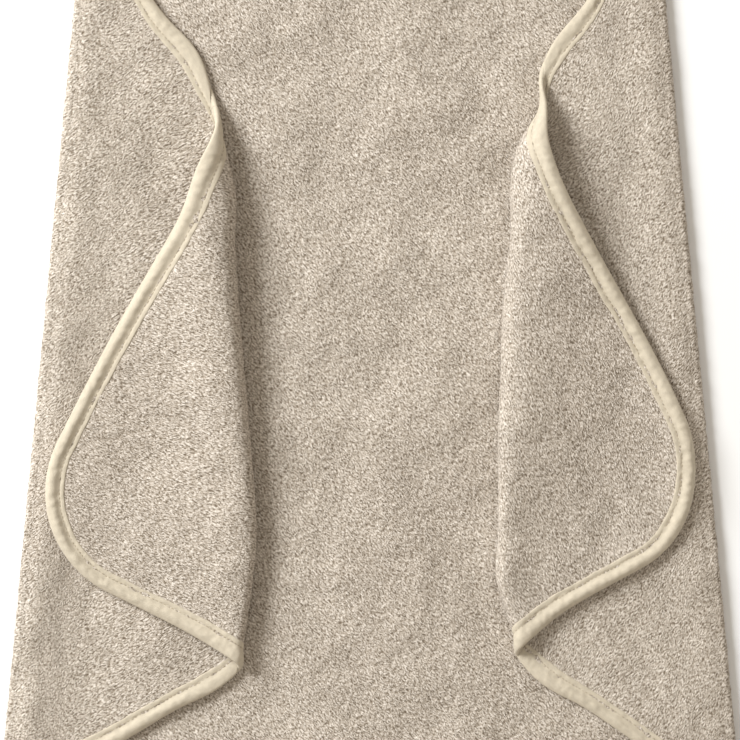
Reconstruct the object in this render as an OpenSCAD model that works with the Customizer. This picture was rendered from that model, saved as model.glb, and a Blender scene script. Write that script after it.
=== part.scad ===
// Hooded baby towel: a square of terry cloth lying on its diagonal, bound all
// round with tape, with a hood on one corner. Both side corners are folded in
// over the middle and then turned back out. It lies on the floor, with the
// hood towards +Y and the middle of the square at the origin.

/* [Cloth] */
// Side of the square towel
towel_side = 760; // [700:10:900]
// Radius of the rounded corners
corner_r = 74; // [40:1:100]
// Thickness of the terry cloth
cloth_t = 3; // [2.4:0.1:4]

/* [Binding] */
// Width of the tape that shows on each face
tape_w = 12; // [8:0.5:20]
// Thickness of one face of the tape
tape_t = 0.7; // [0.5:0.1:0.9]
// Distance from the towel's edge to the row of stitches
stitch_inset = 8.8; // [6:0.1:11]
// Width of the row of stitches
stitch_w = 0.8; // [0.5:0.1:1.2]
// Depth that the stitches sink into the tape
stitch_t = 0.4; // [0.2:0.1:0.5]

/* [Folds] */
// Distance from the middle to each side fold
side_fold_x = 225; // [215:1:235]
// Angle that the side folds open out by, towards the foot
side_fold_tilt = 5.4; // [4:0.1:7]
// Distance from the middle to the left corner's fold
left_corner_fold_x = 84; // [78:1:95]
// Angle that the left corner's fold closes by, towards the foot
left_corner_fold_tilt = 4; // [1:0.1:5]
// Distance from the middle to the right corner's fold
right_corner_fold_x = 88; // [78:1:95]
// Angle that the right corner's fold closes by, towards the foot
right_corner_fold_tilt = 3.5; // [1:0.1:5]
// Height of the side folds' axes
side_axis_z = 4.25; // [3.75:0.25:8]
// Height of the corner folds' axes
corner_axis_z = 9.5; // [9:0.5:18]
// Room for the soft roll of cloth on each side of a fold
fold_room = 4; // [3:0.5:8]

/* [Hood] */
// Distance from the middle to the hood's front edge
hood_front_y = 350; // [345:5:380]
// Height that the hood's front edge stands open
hood_rise = 30; // [15:1:45]

/* [Care label] */
// Width of the folded label
label_w = 22; // [15:1:30]
// Length of the folded label
label_l = 30; // [20:1:45]
// Thickness of the folded label
label_t = 0.5; // [0.3:0.1:0.8]
// Distance along the edge from the foot corner to the label
label_place = 150; // [110:5:220]

/* [Hidden] */
$fn = 96;
terry = [0.76, 0.70, 0.63];
terry_shade = [0.72, 0.66, 0.58];
tape = [0.85, 0.80, 0.71];
thread = [0.90, 0.86, 0.78];
satin = [0.94, 0.93, 0.90];
half_diagonal = towel_side / sqrt(2);
reach = 2 * towel_side;
edge_gap = 0.8;
slab_t = cloth_t - 2 * tape_t;
hood_edge_z = cloth_t - tape_t;
hood_edge_top = hood_edge_z + slab_t + tape_t;
hood_foot = half_diagonal - tape_w * sqrt(2);
hood_slope = hood_rise / (hood_foot - hood_front_y);

// --- the towel's flat outline, moved in from its edge by inset ---
module cut(inset) {
  half = towel_side / 2 - inset;
  r = corner_r - inset;
  rotate(45) union() {
    square([2 * half, 2 * (half - r)], center = true);
    square([2 * (half - r), 2 * half], center = true);
    for (x = [-1, 1], y = [-1, 1])
      translate([x * (half - r), y * (half - r)]) circle(r);
  }
}

// --- zones of the flat outline, on the +X side ---
// everything outward of a line that crosses the X axis at x0
module outward(x0, tilt, room) {
  translate([x0, 0]) rotate(tilt) translate([room, -reach]) square([reach, 2 * reach]);
}

// everything inward of that line
module inward(x0, tilt, room) {
  translate([x0, 0]) rotate(tilt) translate([-room - reach, -reach]) square([reach, 2 * reach]);
}

// a flat shape's mirror image across the side fold
module across_side_fold() {
  translate([side_fold_x, 0]) rotate(side_fold_tilt) mirror([1, 0])
    rotate(-side_fold_tilt) translate([-side_fold_x, 0]) children();
}

module centre_zone() {
  intersection() {
    inward(side_fold_x, side_fold_tilt, fold_room);
    mirror([1, 0]) inward(side_fold_x, side_fold_tilt, fold_room);
  }
}

module side_zone(x0, tilt) {
  intersection() {
    outward(side_fold_x, side_fold_tilt, fold_room);
    across_side_fold() outward(x0, -tilt, fold_room);
  }
}

module corner_zone(x0, tilt) {
  across_side_fold() inward(x0, -tilt, fold_room);
}

module upper_zone() { translate([-reach, 0]) square([2 * reach, reach]); }

module lower_zone() { translate([-reach, -reach]) square([2 * reach, reach]); }

module hood_zone() {
  translate([-reach, hood_front_y]) square([2 * reach, reach]);
}

// --- flat pieces of cloth, tape and thread, each cut to a zone ---
module slab(z0, z1) { translate([0, 0, z0]) linear_extrude(z1 - z0) children(); }

// terry that thins where the tape closes over its edge
module panel() {
  slab(0, cloth_t) intersection() { cut(tape_w); children(); }
  slab(tape_t, cloth_t - tape_t) intersection() {
    difference() { cut(edge_gap); cut(tape_w); }
    children();
  }
}

module edge_band(near, far) {
  intersection() {
    difference() { cut(near); cut(far); }
    children();
  }
}

module stitch_rows(top) {
  slab(0, stitch_t) edge_band(stitch_inset, stitch_inset + stitch_w) children();
  slab(top - stitch_t, top) edge_band(stitch_inset, stitch_inset + stitch_w) children();
}

// tape folded over the edge, with a groove for each row of stitches
module binding() {
  difference() {
    slab(0, cloth_t) edge_band(0, tape_w) children();
    slab(tape_t, cloth_t - tape_t) edge_band(edge_gap, tape_w + 1) children();
    stitch_rows(cloth_t) children();
  }
}

// --- folds: half a turn about a level line at height z ---
module fold_over(x0, tilt, z) {
  translate([x0, 0, z]) rotate([0, 0, tilt]) rotate([0, 180, 0])
    rotate([0, 0, -tilt]) translate([-x0, 0, -z]) children();
}

module folded_side() {
  fold_over(side_fold_x, side_fold_tilt, side_axis_z) children();
}

module folded_corner(x0, tilt) {
  fold_over(x0, -tilt, corner_axis_z) folded_side() children();
}

module left() { mirror([1, 0, 0]) children(); }

// --- middle of the towel ---
module centre_panel() { color(terry) panel() centre_zone(); }

// everything under one slope of the roof, which starts z0 high at the +X edge
module roof_slope(z0, slope_angle) {
  rotate([0, 0, 45]) translate([hood_foot / sqrt(2), 0, z0]) rotate([0, slope_angle, 0])
    translate([-reach, -reach, -reach]) cube([2 * reach, 2 * reach, reach]);
}

// the solid under a roof whose two slopes meet over the Y axis
module roof(z0) {
  slope_angle = atan(hood_slope * sqrt(2));
  intersection() {
    slab(cloth_t, reach) intersection() { cut(tape_w); hood_zone(); centre_zone(); }
    roof_slope(z0, slope_angle);
    mirror([1, 0, 0]) roof_slope(z0, slope_angle);
  }
}

module hood_shell(z0, z1) {
  difference() {
    roof(z1);
    translate([0, 0, -0.01]) roof(z0);
  }
}

module front_strip(near, far) {
  translate([-reach, hood_front_y + near, 0]) cube([2 * reach, far - near, reach]);
}

module hood_front_tape_space() {
  intersection() {
    hood_shell(cloth_t, 2 * cloth_t);
    front_strip(0, tape_w);
  }
}

module hood_front_slab() {
  intersection() {
    hood_shell(cloth_t + tape_t, 2 * cloth_t - tape_t);
    front_strip(edge_gap, tape_w);
  }
}

module hood_front_rows() {
  intersection() {
    union() {
      hood_shell(2 * cloth_t - stitch_t, 2 * cloth_t);
      hood_shell(cloth_t, cloth_t + stitch_t);
    }
    front_strip(stitch_inset, stitch_inset + stitch_w);
  }
}

module hood_panel() {
  color(terry_shade) union() {
    difference() {
      hood_shell(cloth_t, 2 * cloth_t);
      front_strip(-1, tape_w);
    }
    hood_front_slab();
    slab(hood_edge_z, hood_edge_z + slab_t)
      edge_band(edge_gap, tape_w) intersection() { hood_zone(); centre_zone(); }
  }
}

module hood_front_binding() {
  color(tape) difference() {
    hood_front_tape_space();
    hood_front_slab();
    hood_front_rows();
  }
}

module hood_front_topstitch() { color(thread) hood_front_rows(); }

// at the hood corner the tape closes over the towel and the hood together
module hood_end_binding() {
  color(tape) difference() {
    union() {
      slab(0, cloth_t) edge_band(0, tape_w) intersection() { centre_zone(); upper_zone(); }
      slab(0, hood_edge_top) edge_band(0, tape_w) intersection() { centre_zone(); hood_zone(); }
    }
    slab(tape_t, cloth_t - tape_t) edge_band(edge_gap, tape_w + 1) centre_zone();
    slab(hood_edge_z, hood_edge_z + slab_t)
      edge_band(edge_gap, tape_w + 1) intersection() { centre_zone(); hood_zone(); }
    hood_end_rows();
  }
}

module hood_end_rows() {
  stitch_rows(hood_edge_top) intersection() { centre_zone(); hood_zone(); }
}

module hood_end_topstitch() { color(thread) hood_end_rows(); }

module foot_end_binding() {
  color(tape) binding() intersection() { centre_zone(); lower_zone(); }
}

module foot_end_topstitch() {
  color(thread) stitch_rows(cloth_t) intersection() { centre_zone(); lower_zone(); }
}

module care_label() {
  color(satin) translate([0, -half_diagonal, cloth_t]) rotate([0, 0, 45])
    translate([label_place, tape_w, 0]) cube([label_w, label_l, label_t]);
}

// --- side stretches, folded in over the middle ---
module side_panel(x0, tilt) { color(terry) folded_side() panel() side_zone(x0, tilt); }

module side_upper_binding(x0, tilt) {
  color(tape) folded_side() binding() intersection() { side_zone(x0, tilt); upper_zone(); }
}

module side_lower_binding(x0, tilt) {
  color(tape) folded_side() binding() intersection() { side_zone(x0, tilt); lower_zone(); }
}

module side_topstitch(x0, tilt) {
  color(thread) folded_side() stitch_rows(cloth_t) side_zone(x0, tilt);
}

// --- side corners, turned back out ---
module corner_panel(x0, tilt) {
  color(terry_shade) folded_corner(x0, tilt) panel() corner_zone(x0, tilt);
}

module corner_binding(x0, tilt) {
  color(tape) folded_corner(x0, tilt) binding() corner_zone(x0, tilt);
}

module corner_topstitch(x0, tilt) {
  color(thread) folded_corner(x0, tilt) stitch_rows(cloth_t) corner_zone(x0, tilt);
}

lx = left_corner_fold_x;
lt = left_corner_fold_tilt;
rx = right_corner_fold_x;
rt = right_corner_fold_tilt;

centre_panel();
hood_panel();
hood_end_binding();
foot_end_binding();
hood_end_topstitch();
foot_end_topstitch();
hood_front_binding();
hood_front_topstitch();
care_label();
left() side_panel(lx, lt);  // left_side_panel
left() side_upper_binding(lx, lt);  // left_side_upper_binding
left() side_lower_binding(lx, lt);  // left_side_lower_binding
left() side_topstitch(lx, lt);  // left_side_topstitch
left() corner_panel(lx, lt);  // left_corner_panel
left() corner_binding(lx, lt);  // left_corner_binding
left() corner_topstitch(lx, lt);  // left_corner_topstitch
side_panel(rx, rt);  // right_side_panel
side_upper_binding(rx, rt);  // right_side_upper_binding
side_lower_binding(rx, rt);  // right_side_lower_binding
side_topstitch(rx, rt);  // right_side_topstitch
corner_panel(rx, rt);  // right_corner_panel
corner_binding(rx, rt);  // right_corner_binding
corner_topstitch(rx, rt);  // right_corner_topstitch
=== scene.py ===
"""A hooded baby towel: terry cloth lying on its diagonal, edge tape, stitches, hood and label."""
import math
import bpy
import numpy as np
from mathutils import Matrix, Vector


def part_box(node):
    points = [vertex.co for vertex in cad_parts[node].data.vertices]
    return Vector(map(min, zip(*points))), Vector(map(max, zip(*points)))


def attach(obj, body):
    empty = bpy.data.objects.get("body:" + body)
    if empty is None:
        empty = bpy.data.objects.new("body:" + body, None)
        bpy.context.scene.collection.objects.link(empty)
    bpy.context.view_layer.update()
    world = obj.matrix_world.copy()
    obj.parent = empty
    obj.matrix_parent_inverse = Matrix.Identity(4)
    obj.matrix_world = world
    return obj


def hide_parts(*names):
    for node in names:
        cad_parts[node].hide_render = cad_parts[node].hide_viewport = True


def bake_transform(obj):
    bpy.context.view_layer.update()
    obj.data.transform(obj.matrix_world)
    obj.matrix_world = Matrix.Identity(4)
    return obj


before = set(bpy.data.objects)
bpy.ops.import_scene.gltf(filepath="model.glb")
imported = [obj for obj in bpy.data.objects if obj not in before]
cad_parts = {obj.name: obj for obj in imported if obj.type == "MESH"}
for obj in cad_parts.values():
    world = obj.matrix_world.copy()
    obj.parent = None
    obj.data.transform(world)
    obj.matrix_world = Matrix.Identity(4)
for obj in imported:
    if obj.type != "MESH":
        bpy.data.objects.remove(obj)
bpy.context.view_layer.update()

MM = 0.001
SQRT_HALF = math.sqrt(0.5)
rng = np.random.default_rng(7)

# ---------------------------------------------------------------- sizes, in millimetres
SIDE = 760.0
CORNER_R = 74.0
HALF = SIDE / 2
DIAGONAL = HALF * math.sqrt(2)
TAPE_W = 12.0
STITCH_INSET = 8.8

# heights of the middle of each layer of cloth
LAYER_1 = 1.6
LAYER_2 = 6.8
LAYER_3 = 12.2
CLOTH_HALF_T = 1.45
TAPED_HALF_T = 1.1
LUMP = 0.22
PUFF = 2.2
PUFF_AT = 11.0

# the tape: its stretches, how much its roll swells, and how flat it lies on the floor
HOOD_END, FOOT_END = 1, 2
RIGHT_UPPER, RIGHT_LOWER = 3, 4
LEFT_UPPER, LEFT_LOWER = 5, 6
RIGHT_CORNER, LEFT_CORNER = 7, 8
PLUMP = 0.42
FLOOR_SIDE = 0.62
STITCH_LIFT = 1.26
# the most the tape may stand off the cloth's middle towards the layer beneath it
TAPE_ROOM = 2.3

SIDE_FOLD_X = 225.0
SIDE_FOLD_TILT = math.radians(5.4)
SIDE_FOLD_R = (LAYER_2 - LAYER_1) / 2
SIDE_FOLD_HALF = math.pi * SIDE_FOLD_R / 2

# a corner's own cloth starts here, measured past its fold, so just before the fold line
CORNER_SEAM = -1.0

# the label's flat width and length, in metres
LABEL_CUT = (0.022, 0.060)

HOOD_FRONT_Y = 350.0
HOOD_RISE = 27.0
HOOD_INSET = 4.0

# how finely the cloth and the tape are divided
CLOTH_SPACING = 1.5
TAPE_SPACING = 1.0

# the cloth starts this far inside the towel's edge, under the tape
CLOTH_INSET = 3.0

# where a fold's effects fade in: the distance out from the side fold over which each grows
CORNER_SHIFT_FADE = 40
TUG_FADE = 60
SLIP_FADE = 120
LAG_START, LAG_FADE = 2, 70
# the stretch along the side fold over which its softness changes
SOFT_START, SOFT_RUN = 60, 240
# the stretch along the corner fold over which its roll grows towards the hood
ROLL_START, ROLL_RUN = -150, 300
# how far from a corner fold its swings reach on the cloth that isn't turned back
UNTURNED_REACH = 50.0
# the cloth puffs up from here, in half widths of the side fold
PUFF_START = 1.2

# how high the slow swells stand on the floor layer, its middle, the sides and the corners
GROUND_SWELL = 0.3
MIDDLE_SWELL = 1.4
SIDE_SWELL = 0.25
CORNER_SWELL = 1.6
SWELL_FADE = 30
CORNER_SWELL_FADE = 50
# stands for "nowhere near a corner fold"
NOT_TURNED_IN = -1000.0

# the pattern on an underside and on the hood is moved, so that it doesn't repeat the one beside it
UNDERSIDE_PATTERN_SHIFT = (3.0, 5.0)
HOOD_PATTERN_SHIFT = 900.0

# the lowest that each kind of piece may lie over the floor
CLOTH_LOWEST = 0.05
TAPE_LOWEST = 0.04
THREAD_LOWEST = 0.03


class Flank:
    """One side of the towel: which way it lies and how its corner is turned back."""

    def __init__(self, name, sign, fold_x, tilt, side_soft, corner_soft, crest, slip, swings, tugs):
        self.name = name
        self.sign = sign
        self.fold_x = fold_x
        self.tilt = -math.radians(tilt)
        self.side_soft = side_soft
        self.corner_soft = corner_soft
        self.crest = crest
        self.slip = slip
        self.swings = swings
        self.tugs = tugs

    def wander(self, c, beta):
        """How far inward the cloth lies from the fold's straight line, near the fold."""
        total = 0.0
        for size, start, length, reach in self.swings:
            spread = np.where(c < 0, reach, UNTURNED_REACH)
            total = total + size * smooth((start - beta) / length) * np.exp(-(c / spread) ** 2)
        return total


LEFT = Flank(
    "left", -1, 84.0, 4.0, side_soft=(48, 36), corner_soft=(12, 27), crest=(5, 17), slip=9,
    swings=((11, 190, 60, 50), (9, 228, 50, 18), (-9, 175, 60, 18), (-24, -58, 150, 50)),
    tugs=((115, 235, 32, -5, 6), (124, 164, 30, 4, 0), (104, -190, 25, -2, -4)))
RIGHT = Flank(
    "right", 1, 88.0, 3.5, side_soft=(33, 53), corner_soft=(12, 30), crest=(5, 17), slip=-6,
    swings=((5.5, 190, 60, 50), (7, 200, 36, 16), (-7, 165, 60, 16), (-2, 60, 60, 50),
            (-5.5, 0, 100, 50), (-18, -112, 60, 50)),
    tugs=((118, 245, 32, -2, 3), (117, 200, 17, 4, 0), (218, -42, 60, -6.5, 1), (112, -186, 26, -3, -7)))
FLANKS = (LEFT, RIGHT)


def smooth(t):
    t = np.clip(t, 0, 1)
    return t * t * (3 - 2 * t)


def to_line(x, y, x0, tilt):
    """Distance outward from the line through (x0, 0), and the distance along it."""
    out = (x - x0) * math.cos(tilt) + y * math.sin(tilt)
    along = -(x - x0) * math.sin(tilt) + y * math.cos(tilt)
    return out, along


def from_line(out, along, x0, tilt):
    x = x0 + out * math.cos(tilt) - along * math.sin(tilt)
    y = out * math.sin(tilt) + along * math.cos(tilt)
    return x, y


def soft_turn(d, k):
    """A fold seen from above: a hyperbola of width k that settles to the sharp fold."""
    away = np.sqrt(d * d + k * k / 4) - k / 2
    return np.sqrt(d * d + k * k) - k * np.exp(-away / (2.5 * k))


def waves(x, y):
    """Slow ups and downs of the cloth."""
    a = np.sin(x / 31 + 1.3 * np.sin(y / 47)) * np.sin(y / 38 + 0.9)
    b = np.sin((x + 0.6 * y) / 23 + 2.1) * np.sin((y - 0.4 * x) / 61)
    return 0.5 * a + 0.5 * b


def fold_flank(x, y, flank):
    """Flat cloth on the +X side to its place as it lies; x is mirrored for the left."""
    out, along = to_line(x, y, SIDE_FOLD_X, SIDE_FOLD_TILT)
    turned = out > 0
    # the side fold: half a turn of a small arc, and a wide soft turn seen from above
    turn = np.clip(out / SIDE_FOLD_R + math.pi / 2, 0, math.pi)
    arc = -SIDE_FOLD_HALF + SIDE_FOLD_R * np.sin(turn)
    sharp = np.where(np.abs(out) < SIDE_FOLD_HALF, arc, -np.abs(out))
    lo, hi = flank.side_soft
    k = lo + (hi - lo) * smooth((along - SOFT_START) / SOFT_RUN)
    lag = np.maximum(np.abs(out) - soft_turn(out, k), 0) * smooth((out - LAG_START) / LAG_FADE)
    x1, y1 = from_line(sharp, along, SIDE_FOLD_X, SIDE_FOLD_TILT)
    x2, y2 = from_line(sharp + lag, along, SIDE_FOLD_X, SIDE_FOLD_TILT)
    z = LAYER_1 + SIDE_FOLD_R * (1 - np.cos(turn))
    # the corner fold: the cloth turns back out over a soft roll that is highest at the hood end
    c, beta = to_line(x1, y1, flank.fold_x, flank.tilt)
    grow = smooth((beta - ROLL_START) / ROLL_RUN)
    k = flank.corner_soft[0] + (flank.corner_soft[1] - flank.corner_soft[0]) * grow
    crest = flank.crest[0] + (flank.crest[1] - flank.crest[0]) * grow
    xb, yb = from_line(soft_turn(c, k) - flank.wander(c, beta), beta, flank.fold_x, flank.tilt)
    t = -c / k
    up = smooth((t + 0.35) / 1.0)
    tau = np.maximum(t + 0.25, 0) / 1.15
    roll = crest * tau * tau * np.exp(2 * (1 - tau))
    zb = LAYER_2 + (LAYER_3 - LAYER_2) * up + roll
    beyond = smooth(out / CORNER_SHIFT_FADE)
    xf = x2 + (xb - x1) * beyond
    yf = y2 + (yb - y1) * beyond
    zf = np.where(turned & (out > SIDE_FOLD_HALF), zb, z)
    yf = yf - flank.slip * smooth(out / SLIP_FADE)
    # the cloth stands a little proud just inside the side fold
    from_fold = -to_line(xf, yf, SIDE_FOLD_X, SIDE_FOLD_TILT)[0]
    inside = np.maximum(from_fold - PUFF_START * SIDE_FOLD_HALF, 0) / PUFF_AT
    zf = zf + np.where(out > SIDE_FOLD_HALF, PUFF * inside ** 2 * np.exp(2 * (1 - inside)), 0)
    shift_x = 0.0
    shift_y = 0.0
    for tug_x, tug_y, reach, dx, dy in flank.tugs:
        pull = smooth(out / TUG_FADE) * np.exp(-((xf - tug_x) ** 2 + (yf - tug_y) ** 2) / reach ** 2)
        shift_x = shift_x + dx * pull
        shift_y = shift_y + dy * pull
    return xf + shift_x, yf + shift_y, zf, out, -c


def fold(x, y):
    """Flat cloth to its place as it lies, and how far past each fold it is."""
    left = x < 0
    xr, yr, zr, out_r, past_r = fold_flank(np.abs(x), y, RIGHT)
    xl, yl, zl, out_l, past_l = fold_flank(np.abs(x), y, LEFT)
    px = np.where(left, -xl, xr)
    py = np.where(left, yl, yr)
    pz = np.where(left, zl, zr)
    out = np.where(left, out_l, out_r)
    past = np.where(left, past_l, past_r)
    past = np.where(out > 0, past, NOT_TURNED_IN)
    swell = 0.5 + 0.5 * waves(x, y)
    middle = smooth((75 - np.abs(x)) / 40) * smooth((320 - np.abs(y)) / 60)
    ground = GROUND_SWELL * swell * smooth(-out / SWELL_FADE) + MIDDLE_SWELL * swell * middle
    turned = SIDE_SWELL * swell * smooth(out / SWELL_FADE)
    turned = turned + CORNER_SWELL * swell * smooth(past / CORNER_SWELL_FADE)
    return px, py, pz + np.where(out > 0, turned, ground), out, past


def towel_surface(x, y):
    px, py, pz, _, _ = fold(x, y)
    return np.stack([px, py, pz], -1)


def hood_height(x, y):
    """Height of the hood's cloth over the towel: a soft crown, open at the front edge."""
    foot = DIAGONAL - TAPE_W * math.sqrt(2)
    soft_x = np.sqrt(x * x + 18.0 ** 2) - 18.0 * np.exp(-np.abs(x) / 60)
    rise = np.clip((foot - soft_x - y) / (foot - HOOD_FRONT_Y), 0, 1.2)
    crown = HOOD_RISE * smooth(rise / 1.15) * (0.55 + 0.45 * rise)
    ripple = 0.9 * np.sin(x / 17 + 0.6) * np.sin(y / 29) * smooth(rise * 2)
    return LAYER_1 + 2 * CLOTH_HALF_T + 0.6 + crown + ripple


def hood_surface(x, y):
    return np.stack([x, y, hood_height(x, y)], -1)


def with_normals(surface, x, y, step=0.5):
    middle = surface(x, y)
    along_x = surface(x + step, y) - surface(x - step, y)
    along_y = surface(x, y + step) - surface(x, y - step)
    normal = np.cross(along_x, along_y)
    normal /= np.linalg.norm(normal, axis=-1, keepdims=True) + 1e-9
    return middle, normal


# ---------------------------------------------------------------- mesh helpers
def new_object(name, verts, faces, uv):
    """verts in millimetres; faces is an array of quads; uv is one pair per vertex."""
    mesh = bpy.data.meshes.new(name)
    verts = np.asarray(verts, np.float64) * MM
    faces = np.asarray(faces, np.int32)
    count, size = faces.shape
    mesh.vertices.add(len(verts))
    mesh.vertices.foreach_set("co", verts.ravel())
    mesh.loops.add(count * size)
    mesh.loops.foreach_set("vertex_index", faces.ravel())
    mesh.polygons.add(count)
    mesh.polygons.foreach_set("loop_start", np.arange(0, count * size, size, dtype=np.int32))
    mesh.polygons.foreach_set("use_smooth", np.full(count, True))
    layer = mesh.uv_layers.new(name="UVMap")
    layer.data.foreach_set("uv", (np.asarray(uv, np.float64) * MM)[faces.ravel()].ravel())
    mesh.update()
    mesh.validate()
    obj = bpy.data.objects.new(name, mesh)
    bpy.context.scene.collection.objects.link(obj)
    return obj


def blurred(noise, passes):
    """Noise smoothed by repeated small averages, with its spread brought back to one."""
    for _ in range(passes):
        for axis in (0, 1):
            noise = (np.roll(noise, 1, axis) + 2 * noise + np.roll(noise, -1, axis)) / 4
    return noise / noise.std()


def lumps(shape):
    """Uneven loops: small bumps, with some broader ones."""
    fine = blurred(rng.standard_normal(shape), 1)
    broad = blurred(rng.standard_normal(shape), 12)
    return np.clip(0.75 * fine + 0.15 * broad, -1.4, 1.4)


def two_faces(middle, normal, half_t):
    """The lumpy upper and lower face of a sheet, smoother where the cloth is pushed together."""
    rows, cols = middle.shape[:2]
    room = np.ones((rows, cols))
    for axis in (0, 1):
        gap = np.linalg.norm(np.gradient(middle, axis=axis), axis=-1)
        room = np.minimum(room, gap / np.median(gap))
    lump = LUMP * room ** 2
    top = middle + normal * (half_t + lump * lumps((rows, cols)))[..., None]
    bottom = middle - normal * (half_t + lump * lumps((rows, cols)))[..., None]
    return top, bottom


def sheet_mesh(name, top, bottom, keep, flat):
    """A sheet with closed edges, from the points of its two faces and the cells to keep."""
    rows, cols = top.shape[:2]
    index = np.arange(rows * cols).reshape(rows, cols)
    a, b = index[:-1, :-1], index[1:, :-1]
    c, d = index[1:, 1:], index[:-1, 1:]
    upper = np.stack([a, b, c, d], -1)[keep]
    lower = upper[:, ::-1] + rows * cols
    padded = np.pad(keep, 1)
    walls = []
    for (dr, dc), (p, q) in (((-1, 0), (d, a)), ((1, 0), (b, c)), ((0, -1), (a, b)), ((0, 1), (c, d))):
        beyond = padded[1 + dr: 1 + dr + keep.shape[0], 1 + dc: 1 + dc + keep.shape[1]]
        rim = keep & ~beyond
        p, q = p[rim], q[rim]
        walls.append(np.stack([q, p, p + rows * cols, q + rows * cols], -1))
    faces = np.concatenate([upper, lower] + walls)
    verts = np.concatenate([top.reshape(-1, 3), bottom.reshape(-1, 3)])
    verts[:, 2] = np.maximum(verts[:, 2], CLOTH_LOWEST)
    uv = np.concatenate([flat.reshape(-1, 2), flat.reshape(-1, 2) + [UNDERSIDE_PATTERN_SHIFT]])
    used = np.unique(faces)
    renumber = np.zeros(len(verts), np.int64)
    renumber[used] = np.arange(len(used))
    obj = new_object(name, verts[used], renumber[faces], uv[used])
    sharp = obj.data.attributes.new("sharp_face", "BOOLEAN", "FACE")
    flags = np.zeros(len(faces), bool)
    flags[len(upper) + len(lower):] = True
    sharp.data.foreach_set("value", flags)
    return obj


def cut_size(x, y, keep):
    """Width, length and area of a flat piece of cloth, in metres, from its grid and the cells kept."""
    corners = np.stack([x, y], -1)
    a, b, c, d = corners[:-1, :-1], corners[1:, :-1], corners[1:, 1:], corners[:-1, 1:]
    p, q = c - a, d - b
    area = np.abs(p[..., 0] * q[..., 1] - p[..., 1] * q[..., 0]) / 2
    spans = [np.ptp(np.stack([a, b, c, d])[:, keep, axis]) * MM for axis in (0, 1)]
    return (*spans, float(area[keep].sum()) * MM * MM)


# ---------------------------------------------------------------- the towel's cloth
def rounded_grid(spacing, inset):
    """A grid over the square whose corners are rounded, in the diagonal frame."""
    half = HALF - inset
    count = int(round(2 * half / spacing)) + 1
    line = np.linspace(-half, half, count)
    u, v = np.meshgrid(line, line, indexing="ij")
    over_u = np.abs(u) - (half - CORNER_R)
    over_v = np.abs(v) - (half - CORNER_R)
    both = (over_u > 0) & (over_v > 0)
    big = np.maximum(over_u, over_v)
    small = np.minimum(over_u, over_v)
    angle = math.pi / 4 * small / np.maximum(big, 1e-9)
    near, far = big * np.cos(angle), big * np.sin(angle)
    new_u = np.where(over_u >= over_v, near, far)
    new_v = np.where(over_u >= over_v, far, near)
    u = np.where(both, np.sign(u) * (half - CORNER_R + new_u), u)
    v = np.where(both, np.sign(v) * (half - CORNER_R + new_v), v)
    return np.stack([(u - v) * SQRT_HALF, (u + v) * SQRT_HALF], -1), np.stack([u, v], -1)


def edge_distance(x, y):
    """Distance in from the towel's outline."""
    u, v = np.abs(x + y) * SQRT_HALF, np.abs(y - x) * SQRT_HALF
    over_u, over_v = u - (HALF - CORNER_R), v - (HALF - CORNER_R)
    corner = np.hypot(np.maximum(over_u, 0), np.maximum(over_v, 0))
    inner = np.maximum(over_u, over_v)
    return CORNER_R - np.where(inner > 0, corner, inner)


def cell_middles(grid):
    return (grid[:-1, :-1] + grid[1:, :-1] + grid[1:, 1:] + grid[:-1, 1:]) / 4


def make_cloth():
    place, flat = rounded_grid(CLOTH_SPACING, CLOTH_INSET)
    x, y = place[..., 0], place[..., 1]
    middle, normal = with_normals(towel_surface, x, y)
    _, _, _, out, past = fold(x, y)
    inset = edge_distance(x, y)
    half_t = TAPED_HALF_T + (CLOTH_HALF_T - TAPED_HALF_T) * smooth((inset - TAPE_W + 2) / 5)
    cx, cout, cpast = cell_middles(x), cell_middles(out), cell_middles(past)
    pieces = {"centre_cloth": cout < -SIDE_FOLD_HALF}
    for flank in FLANKS:
        here = (np.sign(cx) == flank.sign) & (cout >= -SIDE_FOLD_HALF)
        turned_back = cpast > CORNER_SEAM
        pieces[flank.name + "_side_cloth"] = here & ~turned_back
        pieces[flank.name + "_corner_cloth"] = here & turned_back
    top, bottom = two_faces(middle, normal, half_t)
    cut = {}
    for name, keep in pieces.items():
        cut[name] = (sheet_mesh(name, top, bottom, keep, flat), cut_size(x, y, keep))
    return cut


# ---------------------------------------------------------------- edge tape
def outline(spacing):
    """The towel's outline, from the right corner round by the hood: distances, points, in-directions."""
    straight = SIDE - 2 * CORNER_R
    arc = CORNER_R * math.pi / 2
    total = 4 * (straight + arc)
    count = int(round(total / spacing))
    s = np.arange(count) * total / count
    leg = straight + arc
    corner_offset = arc / 2
    quarter, rest = np.divmod(s + corner_offset, leg)
    quarter = quarter % 4
    on_arc = rest < arc
    angle = np.where(on_arc, rest / CORNER_R - math.pi / 4, math.pi / 4)
    centre = DIAGONAL - CORNER_R * math.sqrt(2)
    run = np.where(on_arc, 0, rest - arc)
    nx, ny = np.cos(angle), np.sin(angle)
    px = centre + CORNER_R * nx - run * SQRT_HALF
    py = CORNER_R * ny + run * SQRT_HALF
    turn = quarter * math.pi / 2
    ct, st = np.cos(turn), np.sin(turn)
    points = np.stack([px * ct - py * st, px * st + py * ct], -1)
    inward = -np.stack([nx * ct - ny * st, nx * st + ny * ct], -1)
    return s, points, inward


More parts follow.
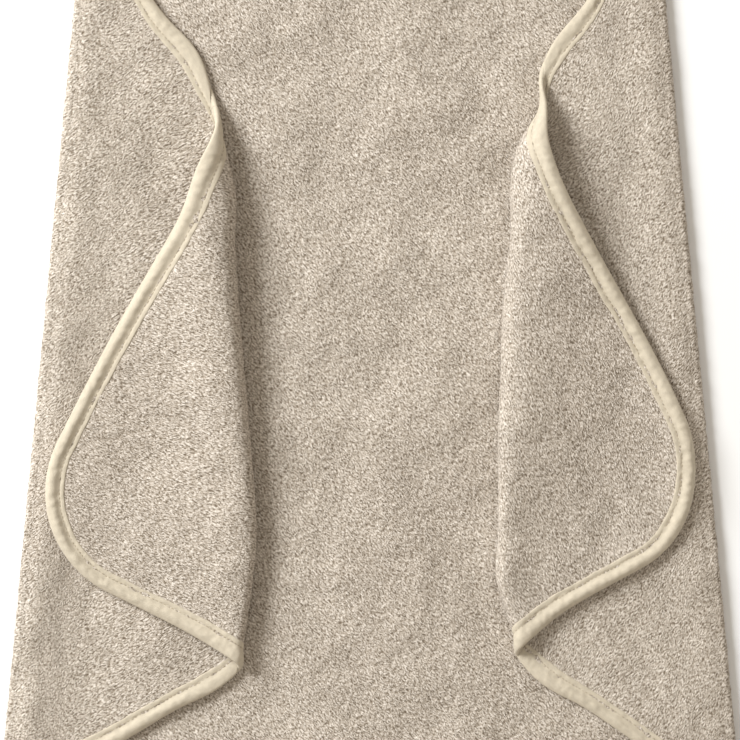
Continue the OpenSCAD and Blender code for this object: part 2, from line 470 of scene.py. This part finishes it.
def tape_profile():
    """Half of the tape's section: distance in from the edge and height over the cloth's middle."""
    inset = np.array([-0.6, -0.45, 0.0, 0.7, 1.7, 3.0, 4.3, 5.4, 6.4, 7.3, 8.0,
                      8.5, 8.8, 9.1, 9.5, 10.3, 11.2, 11.8, 12.1])
    height = np.array([0.0, 0.75, 1.35, 1.8, 2.15, 2.38, 2.4, 2.26, 1.98, 1.64, 1.36,
                       1.2, 1.12, 1.2, 1.4, 1.6, 1.62, 1.56, 1.0])
    return inset, height


def tape_mesh(name, surface, points, inward, s, plump, under, over=0.0):
    """Tape folded over a cloth edge: the profile swept along the edge on both faces."""
    inset, height = tape_profile()
    steps = len(s)
    full_inset = np.concatenate([inset[::-1], inset[1:]])
    side = np.concatenate([np.ones(len(inset)), -np.ones(len(inset) - 1)])
    full_height = np.concatenate([height[::-1], height[1:]])
    wobble = blurred(rng.standard_normal((steps, 1)), 40)
    pucker = blurred(rng.standard_normal((steps, len(full_inset))), 3)
    crease = blurred(rng.standard_normal((steps, len(full_inset))), 1)
    wide = full_inset * (1 + 0.012 * wobble)
    x = points[:, :1] + inward[:, :1] * wide
    y = points[:, 1:] + inward[:, 1:] * wide
    middle, normal = with_normals(surface, x, y)
    soft = smooth((full_inset - 0.2) / 2) * smooth((inset[-1] - full_inset) / 1.5)
    puff = 1 + 0.06 * wobble
    lift = full_height * puff + soft * (0.13 * pucker + 0.05 * crease)
    dome = np.clip((full_height - 1.7) / 0.7, 0, 1) * (full_inset < STITCH_INSET)
    chosen = np.where(side > 0, plump, under)
    scale = 1 + (chosen - 1) * np.where(chosen > 1, dome, 1)
    lift = np.where(scale > 1, lift * scale, np.minimum(lift * scale, TAPE_ROOM))
    lift = lift + np.where(side > 0, over, 0.0) * (full_height > 0)
    verts = middle + normal * (side * lift)[..., None]
    width = len(full_inset)
    index = np.arange(steps * width).reshape(steps, width)
    a, b = index[:-1, :-1], index[1:, :-1]
    c, d = index[1:, 1:], index[:-1, 1:]
    quads = [np.stack([a, d, c, b], -1).reshape(-1, 4)]
    quads.append(np.stack([index[:-1, -1], index[:-1, 0], index[1:, 0], index[1:, -1]], -1))
    half = (width + 1) // 2
    for row, flip in ((0, False), (steps - 1, True)):
        near = index[row, :half - 1]
        next_near = index[row, 1:half]
        far = index[row, ::-1][:half - 1]
        next_far = index[row, ::-1][1:half]
        cap = np.stack([near, far, next_far, next_near], -1)
        cap = cap[:-1]
        quads.append(cap[:, ::-1] if flip else cap)
    verts = verts.reshape(-1, 3)
    verts[:, 2] = np.maximum(verts[:, 2], TAPE_LOWEST)
    girth = np.cumsum(np.abs(np.diff(full_inset, prepend=full_inset[0])) + 0.15)
    uv = np.stack(np.broadcast_arrays(s[:, None], girth[None, :]), -1).reshape(-1, 2)
    return new_object(name, verts, np.concatenate(quads), uv)


def stitch_mesh(name, surface, points, inward, s, lift_top, lift_under):
    """Lock stitches: one short dash of thread after another, on both faces."""
    pitch, gap, radius = 3.0, 0.7, 0.27
    length = s[-1] - s[0]
    count = int(length / pitch)
    rings, sides = 7, 6
    place = np.linspace(-1, 1, rings)
    along = place * (pitch - gap) / 2
    dip = 0.35 * np.abs(place) ** 3
    fat = radius * np.sqrt(np.clip(1 - (place * 0.96) ** 4, 0.05, 1))
    verts, faces, uvs = [], [], []
    angle = np.arange(sides) * 2 * math.pi / sides
    for face in (1, -1):
        starts = s[0] + (np.arange(count) + 0.5) * pitch
        where = starts[:, None] + along[None, :]
        px = np.interp(where, s, points[:, 0])
        py = np.interp(where, s, points[:, 1])
        ix = np.interp(where, s, inward[:, 0])
        iy = np.interp(where, s, inward[:, 1])
        jitter = 0.12 * rng.standard_normal((count, 1))
        x = px + ix * (STITCH_INSET + jitter)
        y = py + iy * (STITCH_INSET + jitter)
        centre, normal = with_normals(surface, x, y)
        lift_here = np.interp(where, s, lift_top if face > 0 else lift_under)
        centre = centre + normal * (face * (lift_here - dip))[..., None]
        forward = np.gradient(centre, axis=1)
        forward /= np.linalg.norm(forward, axis=-1, keepdims=True) + 1e-9
        across = np.cross(forward, normal)
        across /= np.linalg.norm(across, axis=-1, keepdims=True) + 1e-9
        up = np.cross(across, forward)
        ring = (centre[:, :, None] + across[:, :, None] * (fat[:, None] * np.cos(angle))[None, ..., None]
                + up[:, :, None] * (fat[:, None] * np.sin(angle))[None, ..., None])
        base = sum(len(v) for v in verts)
        verts.append(ring.reshape(-1, 3))
        uvs.append(np.stack(np.broadcast_arrays(where[..., None], angle[None, None, :]), -1).reshape(-1, 2))
        index = base + np.arange(count * rings * sides).reshape(count, rings, sides)
        nxt = np.roll(index, -1, axis=2)
        faces.append(np.stack([index[:, :-1], nxt[:, :-1], nxt[:, 1:], index[:, 1:]], -1).reshape(-1, 4))
        # each end of a stitch is closed by two quads over its six sides
        for end, order in ((0, (0, 5, 4, 3)), (0, (0, 3, 2, 1)), (-1, (0, 1, 2, 3)), (-1, (0, 3, 4, 5))):
            faces.append(index[:, end, :][:, list(order)])
    verts = np.concatenate(verts)
    verts[:, 2] = np.maximum(verts[:, 2], THREAD_LOWEST)
    return new_object(name, verts, np.concatenate(faces), np.concatenate(uvs))


def tape_plumpness(key, out, past):
    """How thick the tape's rolled edge is on the cloth's upper and lower face, next to 1 at the folds."""
    away = smooth((np.abs(out) - 12) / 20)
    flat_on_floor = FLOOR_SIDE + (1 - FLOOR_SIDE) * smooth(out / 20)
    if key in (HOOD_END, FOOT_END):
        return 1 + PLUMP * away, flat_on_floor
    if key in (RIGHT_CORNER, LEFT_CORNER):
        return 1 + PLUMP * smooth((past - 8) / 25), np.ones_like(out)
    return np.ones_like(out), flat_on_floor + PLUMP * away * smooth((-past - 20) / 25)


def make_edges():
    """The tape and its stitches, cut where the folds are."""
    s, points, inward = outline(TAPE_SPACING)
    _, _, _, out, past = fold(points[:, 0], points[:, 1])
    step = s[1] - s[0]
    kind = np.zeros(len(s), int)
    right = points[:, 0] > 0
    upper = points[:, 1] > 0
    side = out >= -SIDE_FOLD_HALF
    corner = side & (past > CORNER_SEAM)
    kind[~side & upper] = HOOD_END
    kind[~side & ~upper] = FOOT_END
    kind[side & ~corner & right & upper] = RIGHT_UPPER
    kind[side & ~corner & right & ~upper] = RIGHT_LOWER
    kind[side & ~corner & ~right & upper] = LEFT_UPPER
    kind[side & ~corner & ~right & ~upper] = LEFT_LOWER
    kind[corner & right] = RIGHT_CORNER
    kind[corner & ~right] = LEFT_CORNER
    names = {HOOD_END: "hood_end", FOOT_END: "foot_end",
             RIGHT_UPPER: "right_side_upper", RIGHT_LOWER: "right_side_lower",
             LEFT_UPPER: "left_side_upper", LEFT_LOWER: "left_side_lower",
             RIGHT_CORNER: "right_corner", LEFT_CORNER: "left_corner"}
    made = {}
    for key, name in names.items():
        flags = kind == key
        first = np.flatnonzero(flags & ~np.roll(flags, 1))[0]
        run = (first + np.arange(flags.sum() + 1)) % len(s)
        run_s = np.arange(len(run)) * step
        pts, inw = points[run], inward[run]
        run_out, run_past = out[run][:, None], past[run][:, None]
        plump, under = tape_plumpness(key, run_out, run_past)
        over = np.zeros((len(run), 1))
        if key == HOOD_END:
            doubled = smooth((pts[:, 1:] - HOOD_FRONT_Y + 2) / 6)
            over = (2 * CLOTH_HALF_T + 0.2) * doubled
        made[name + "_tape"] = tape_mesh(
            name + "_tape", towel_surface, pts, inw, run_s, plump, under, over)
        lift_top = STITCH_LIFT + over[:, 0]
        lift_under = STITCH_LIFT * np.minimum(under[:, 0], 1)
        made[name + "_stitches"] = stitch_mesh(
            name + "_stitches", towel_surface, pts, inw, run_s, lift_top, lift_under)
    return made


# ---------------------------------------------------------------- hood
def hood_half_width(y, inset):
    centre = DIAGONAL - CORNER_R * math.sqrt(2)
    r = CORNER_R - inset
    straight = DIAGONAL - inset * math.sqrt(2) - y
    rounded = np.sqrt(np.maximum(r * r - (y - centre) ** 2, 0.0))
    return np.where(y > centre + r * SQRT_HALF, rounded, straight)


def make_hood():
    inset = HOOD_INSET
    tip = DIAGONAL - CORNER_R * (math.sqrt(2) - 1) - inset
    rows = int((tip - HOOD_FRONT_Y) / CLOTH_SPACING)
    front_half = hood_half_width(np.array(HOOD_FRONT_Y), inset)
    # an odd number of columns, so that one lies on the middle line
    across = np.linspace(-1, 1, int(2 * front_half / CLOTH_SPACING) | 1)
    y_line = HOOD_FRONT_Y + 3.0 + (tip - HOOD_FRONT_Y - 3.3) * np.linspace(0, 1, rows)
    y = np.broadcast_to(y_line[None, :], (len(across), rows))
    x = across[:, None] * hood_half_width(y_line, inset)[None, :]
    middle, normal = with_normals(hood_surface, x, y)
    front = smooth((y - HOOD_FRONT_Y - TAPE_W + 2) / 5)
    sides = smooth((edge_distance(x, y) - TAPE_W + 2) / 5)
    half_t = TAPED_HALF_T + (CLOTH_HALF_T - TAPED_HALF_T) * np.minimum(front, sides)
    flat = np.stack([(x + y) * SQRT_HALF, (y - x) * SQRT_HALF], -1) + HOOD_PATTERN_SHIFT
    keep = np.ones((len(across) - 1, rows - 1), bool)
    top, bottom = two_faces(middle, normal, half_t)
    return sheet_mesh("hood_cloth", top, bottom, keep, flat), cut_size(x, y, keep)


def make_hood_front():
    half = hood_half_width(np.array(HOOD_FRONT_Y + 4.0), 7.0)
    s = np.arange(0, 2 * half, TAPE_SPACING)
    points = np.stack([half - s, np.full(len(s), HOOD_FRONT_Y)], -1)
    inward = np.broadcast_to(np.array([[0.0, 1.0]]), points.shape)
    full = np.ones((len(s), 1))
    tape = tape_mesh("hood_front_tape", hood_surface, points, inward, s, (1 + PLUMP) * full, full)
    lift = np.full(len(s), STITCH_LIFT)
    thread = stitch_mesh("hood_front_stitches", hood_surface, points, inward, s, lift, lift)
    return {"hood_front_tape": tape, "hood_front_stitches": thread}


# ---------------------------------------------------------------- care label
def make_label():
    """A blank satin label, folded in half, with its two ends sewn in at the tape."""
    width, length = LABEL_CUT[0] / MM, LABEL_CUT[1] / MM / 2
    low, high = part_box("care_label")
    centre = (np.array(low[:2]) + np.array(high[:2])) / 2 / MM
    in_dir = np.array([-1.0, 1.0]) * SQRT_HALF
    across_dir = np.array([1.0, 1.0]) * SQRT_HALF
    count, wide = 61, 13
    t = np.linspace(0, 1, count)
    reach = length * (1 - np.abs(2 * t - 1))
    fold_z = 3.4 + 0.5 * t + 1.3 * np.sin(math.pi * np.clip(reach / length, 0, 1)) * t
    round_end = smooth(1 - np.abs(2 * t - 1) / 0.12)
    reach = reach - 0.3 * round_end
    across = np.linspace(-0.5, 0.5, wide) * width
    root = centre - in_dir * length / 2
    x = root[0] + in_dir[0] * reach[:, None] + across_dir[0] * across
    y = root[1] + in_dir[1] * reach[:, None] + across_dir[1] * across
    z = fold_z[:, None] + 0.25 * np.sin(across / 5.0) * np.clip(reach / length, 0, 1)[:, None]
    middle = np.stack([x, y, np.broadcast_to(z, x.shape)], -1)
    side = np.where(t < 0.5, -1.0, 1.0)[:, None, None]
    thick = np.array([0.0, 0.0, 0.11])
    outer, inner = middle + side * thick, middle - side * thick
    index = np.arange(count * wide).reshape(count, wide)
    a, b = index[:-1, :-1], index[1:, :-1]
    c, d = index[1:, 1:], index[:-1, 1:]
    quads = np.stack([a, b, c, d], -1).reshape(-1, 4)
    total = count * wide
    rim = []
    for p, q in ((index[:-1, 0], index[1:, 0]), (index[1:, -1], index[:-1, -1]),
                 (index[0, 1:], index[0, :-1]), (index[-1, :-1], index[-1, 1:])):
        rim.append(np.stack([q, p, p + total, q + total], -1))
    faces = np.concatenate([quads, quads[:, ::-1] + total] + rim)
    verts = np.concatenate([outer.reshape(-1, 3), inner.reshape(-1, 3)])
    uv = np.stack(np.broadcast_arrays(t[:, None] * 2 * length, across[None, :]), -1).reshape(-1, 2)
    return new_object("label", verts, faces, np.concatenate([uv, uv]))


# ---------------------------------------------------------------- materials
def nodes_of(name):
    material = bpy.data.materials.new(name)
    material.use_nodes = True
    tree = material.node_tree
    return material, tree, tree.nodes["Principled BSDF"]


def node(tree, kind, **settings):
    made = tree.nodes.new(kind)
    for key, value in settings.items():
        if key in made.inputs:
            made.inputs[key].default_value = value
        else:
            setattr(made, key, value)
    return made


def scaled_uv(tree, scale, turn=0.0):
    source = node(tree, "ShaderNodeTexCoord")
    mapping = node(tree, "ShaderNodeMapping")
    mapping.inputs["Scale"].default_value = scale
    mapping.inputs["Rotation"].default_value = (0, 0, turn)
    tree.links.new(source.outputs["UV"], mapping.inputs["Vector"])
    return mapping.outputs["Vector"]


def ramp(tree, value, stops):
    made = node(tree, "ShaderNodeValToRGB")
    while len(made.color_ramp.elements) < len(stops):
        made.color_ramp.elements.new(0.5)
    for element, (place, colour) in zip(made.color_ramp.elements, stops):
        element.position = place
        element.color = (*colour, 1.0)
    tree.links.new(value, made.inputs["Fac"])
    return made.outputs["Color"]


def mixed(tree, kind, factor, a, b):
    made = node(tree, "ShaderNodeMix", data_type="RGBA", blend_type=kind)
    made.inputs["Factor"].default_value = factor
    tree.links.new(a, made.inputs[6])
    tree.links.new(b, made.inputs[7])
    return made.outputs[2]


def maths(tree, operation, a, b):
    made = node(tree, "ShaderNodeMath", operation=operation)
    for socket, value in zip(made.inputs, (a, b)):
        if isinstance(value, (int, float)):
            socket.default_value = value
        else:
            tree.links.new(value, socket)
    return made.outputs[0]


def streaks(tree, turn):
    """Short strands of pile that lie mostly one way."""
    where = scaled_uv(tree, (1050, 460, 1), turn)
    noise = node(tree, "ShaderNodeTexNoise", Scale=1.0, Detail=2.0, Roughness=0.6, Distortion=0.5)
    tree.links.new(where, noise.inputs["Vector"])
    return noise.outputs["Fac"]


def terry_material():
    material, tree, shader = nodes_of("terry")
    one_way, other_way = streaks(tree, 0.15), streaks(tree, 1.72)
    patch_at = scaled_uv(tree, (300, 300, 1))
    patch = node(tree, "ShaderNodeTexNoise", Scale=1.0, Detail=2.0)
    tree.links.new(patch_at, patch.inputs["Vector"])
    choice = ramp(tree, patch.outputs["Fac"], ((0.45, (0, 0, 0)), (0.55, (1, 1, 1))))
    pile = node(tree, "ShaderNodeMix", data_type="FLOAT")
    tree.links.new(choice, pile.inputs["Factor"])
    tree.links.new(one_way, pile.inputs[2])
    tree.links.new(other_way, pile.inputs[3])
    slow_at = scaled_uv(tree, (45, 45, 1))
    slow = node(tree, "ShaderNodeTexNoise", Scale=1.0, Detail=4.0, Roughness=0.55)
    tree.links.new(slow_at, slow.inputs["Vector"])
    # the pile's colour: the cloth's own beige in the middle of the ramp, painted darker where the pile is
    # low (painted shade in the hollows between the strands) and painted lighter where it is high (painted
    # highlight on the strands' tops); the same pile pattern also drives the bump below
    cloth_colour_with_painted_pile_shade = ramp(tree, pile.outputs[0], (
        (0.36, (0.20, 0.156, 0.109)), (0.49, (0.52, 0.45, 0.373)), (0.62, (0.86, 0.787, 0.705))))
    slow_tone = ramp(tree, slow.outputs["Fac"], ((0.3, (0.95, 0.945, 0.94)), (0.7, (1.04, 1.04, 1.04))))
    colour = mixed(tree, "MULTIPLY", 1.0, cloth_colour_with_painted_pile_shade, slow_tone)
    tree.links.new(colour, shader.inputs["Base Color"])
    broad_at = scaled_uv(tree, (13, 13, 1))
    broad = node(tree, "ShaderNodeTexNoise", Scale=1.0, Detail=2.0, Roughness=0.5)
    tree.links.new(broad_at, broad.inputs["Vector"])
    swell = node(tree, "ShaderNodeBump", Strength=1.0, Distance=0.018)
    tree.links.new(broad.outputs["Fac"], swell.inputs["Height"])
    bump = node(tree, "ShaderNodeBump", Strength=1.0, Distance=0.0016)
    tree.links.new(swell.outputs["Normal"], bump.inputs["Normal"])
    tree.links.new(pile.outputs[0], bump.inputs["Height"])
    tree.links.new(bump.outputs["Normal"], shader.inputs["Normal"])
    shader.inputs["Roughness"].default_value = 0.95
    shader.inputs["Specular IOR Level"].default_value = 0.12
    shader.inputs["Sheen Weight"].default_value = 0.1
    shader.inputs["Sheen Roughness"].default_value = 0.6
    return material


def tape_material():
    material, tree, shader = nodes_of("tape")
    weave_at = scaled_uv(tree, (1, 1, 1), 0.78)
    wave_a = node(tree, "ShaderNodeTexWave", wave_type="BANDS", bands_direction="X", Scale=620.0)
    wave_b = node(tree, "ShaderNodeTexWave", wave_type="BANDS", bands_direction="Y", Scale=620.0)
    for wave in (wave_a, wave_b):
        tree.links.new(weave_at, wave.inputs["Vector"])
    cloud_at = scaled_uv(tree, (220, 320, 1))
    cloud = node(tree, "ShaderNodeTexNoise", Scale=1.0, Detail=4.0, Roughness=0.6)
    tree.links.new(cloud_at, cloud.inputs["Vector"])
    weave = maths(tree, "MULTIPLY", wave_a.outputs["Fac"], wave_b.outputs["Fac"])
    base = ramp(tree, weave, ((0.0, (0.64, 0.565, 0.44)), (1.0, (0.80, 0.72, 0.59))))
    tone = ramp(tree, cloud.outputs["Fac"], ((0.3, (0.88, 0.88, 0.88)), (0.7, (1.06, 1.06, 1.06))))
    tree.links.new(mixed(tree, "MULTIPLY", 1.0, base, tone), shader.inputs["Base Color"])
    height = maths(tree, "ADD", weave, maths(tree, "MULTIPLY", cloud.outputs["Fac"], 0.8))
    bump = node(tree, "ShaderNodeBump", Strength=0.6, Distance=0.0003)
    tree.links.new(height, bump.inputs["Height"])
    tree.links.new(bump.outputs["Normal"], shader.inputs["Normal"])
    shader.inputs["Roughness"].default_value = 0.85
    shader.inputs["Specular IOR Level"].default_value = 0.2
    shader.inputs["Sheen Weight"].default_value = 0.15
    return material


def thread_material():
    material, tree, shader = nodes_of("thread")
    twist_at = scaled_uv(tree, (1, 0.35, 1), 0.5)
    twist = node(tree, "ShaderNodeTexWave", wave_type="BANDS", bands_direction="X", Scale=900.0)
    tree.links.new(twist_at, twist.inputs["Vector"])
    colour = ramp(tree, twist.outputs["Fac"], ((0.0, (0.36, 0.30, 0.21)), (1.0, (0.58, 0.50, 0.38))))
    tree.links.new(colour, shader.inputs["Base Color"])
    shader.inputs["Roughness"].default_value = 0.7
    return material


def satin_material():
    material, tree, shader = nodes_of("satin")
    ribs_at = scaled_uv(tree, (1, 1, 1))
    ribs = node(tree, "ShaderNodeTexWave", wave_type="BANDS", bands_direction="X", Scale=800.0)
    tree.links.new(ribs_at, ribs.inputs["Vector"])
    colour = ramp(tree, ribs.outputs["Fac"], ((0.0, (0.80, 0.79, 0.76)), (1.0, (0.88, 0.87, 0.84))))
    tree.links.new(colour, shader.inputs["Base Color"])
    bump = node(tree, "ShaderNodeBump", Strength=0.3, Distance=0.0001)
    tree.links.new(ribs.outputs["Fac"], bump.inputs["Height"])
    tree.links.new(bump.outputs["Normal"], shader.inputs["Normal"])
    shader.inputs["Roughness"].default_value = 0.4
    return material


# ---------------------------------------------------------------- putting it together
def bend(obj):
    """Bakes obj's placement into its mesh."""
    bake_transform(obj)


def finish_piece(obj, material, nodes):
    obj.data.materials.append(material)
    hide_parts(*nodes)


terry, tape, thread, satin = terry_material(), tape_material(), thread_material(), satin_material()
cloth = make_cloth()
edges = make_edges()
edges.update(make_hood_front())
hood, hood_cut = make_hood()
label = make_label()

centre, centre_cut = cloth["centre_cloth"]
finish_piece(centre, terry, ["centre_panel"])
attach(centre, "towel")
finish_piece(hood, terry, ["hood_panel"])
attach(hood, "towel")
finish_piece(label, satin, ["care_label"])
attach(label, "towel")
for place in ("hood_end", "foot_end", "hood_front"):
    finish_piece(edges[place + "_tape"], tape, [place + "_binding"])
    finish_piece(edges[place + "_stitches"], thread, [place + "_topstitch"])
    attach(edges[place + "_tape"], "towel")
    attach(edges[place + "_stitches"], "towel")
for flank in FLANKS:
    side, corner = flank.name + "_side", flank.name + "_corner"
    side_cloth, side_cut = cloth[side + "_cloth"]
    corner_cloth, corner_cut = cloth[corner + "_cloth"]
    finish_piece(side_cloth, terry, [side + "_panel"])
    finish_piece(corner_cloth, terry, [corner + "_panel"])
    bend(side_cloth)
    bend(corner_cloth)
    for level in ("upper", "lower"):
        finish_piece(edges[f"{side}_{level}_tape"], tape, [f"{side}_{level}_binding"])
        finish_piece(edges[f"{side}_{level}_stitches"], thread, [side + "_topstitch"])
        bend(edges[f"{side}_{level}_tape"])
        bend(edges[f"{side}_{level}_stitches"])
    finish_piece(edges[corner + "_tape"], tape, [corner + "_binding"])
    finish_piece(edges[corner + "_stitches"], thread, [corner + "_topstitch"])
    bend(edges[corner + "_tape"])
    bend(edges[corner + "_stitches"])


# ---------------------------------------------------------------- floor, light and camera
def make_floor():
    bpy.ops.mesh.primitive_plane_add(size=12, location=(0, 0, 0))
    floor = bpy.context.object
    floor.name = "floor"
    material, _, shader = nodes_of("floor")
    shader.inputs["Base Color"].default_value = (0.93, 0.93, 0.93, 1)
    shader.inputs["Roughness"].default_value = 0.9
    floor.data.materials.append(material)


def area_light(name, place, size, power):
    light = bpy.data.lights.new(name, "AREA")
    light.shape = "DISK"
    light.size = size
    light.energy = power
    light.color = (0.97, 0.99, 1.0)
    obj = bpy.data.objects.new(name, light)
    obj.location = place
    obj.rotation_euler = (-Vector(place)).to_track_quat("-Z", "Y").to_euler()
    bpy.context.scene.collection.objects.link(obj)


def make_camera():
    distance, seen_width, look_y = 2.2, 0.4988, 0.0256
    camera = bpy.data.cameras.new("camera")
    camera.sensor_width = 36.0
    camera.lens = camera.sensor_width * distance / seen_width
    obj = bpy.data.objects.new("camera", camera)
    obj.location = (0, look_y, distance)
    bpy.context.scene.collection.objects.link(obj)
    bpy.context.scene.camera = obj


make_floor()
area_light("window", (-2.58, 1.72, 2.10), 1.7, 185)
world = bpy.data.worlds.new("studio")
world.use_nodes = True
world.node_tree.nodes["Background"].inputs["Color"].default_value = (1.0, 0.92, 0.81, 1)
world.node_tree.nodes["Background"].inputs["Strength"].default_value = 0.52
bpy.context.scene.world = world
bpy.context.scene.view_settings.view_transform = "Standard"
make_camera()
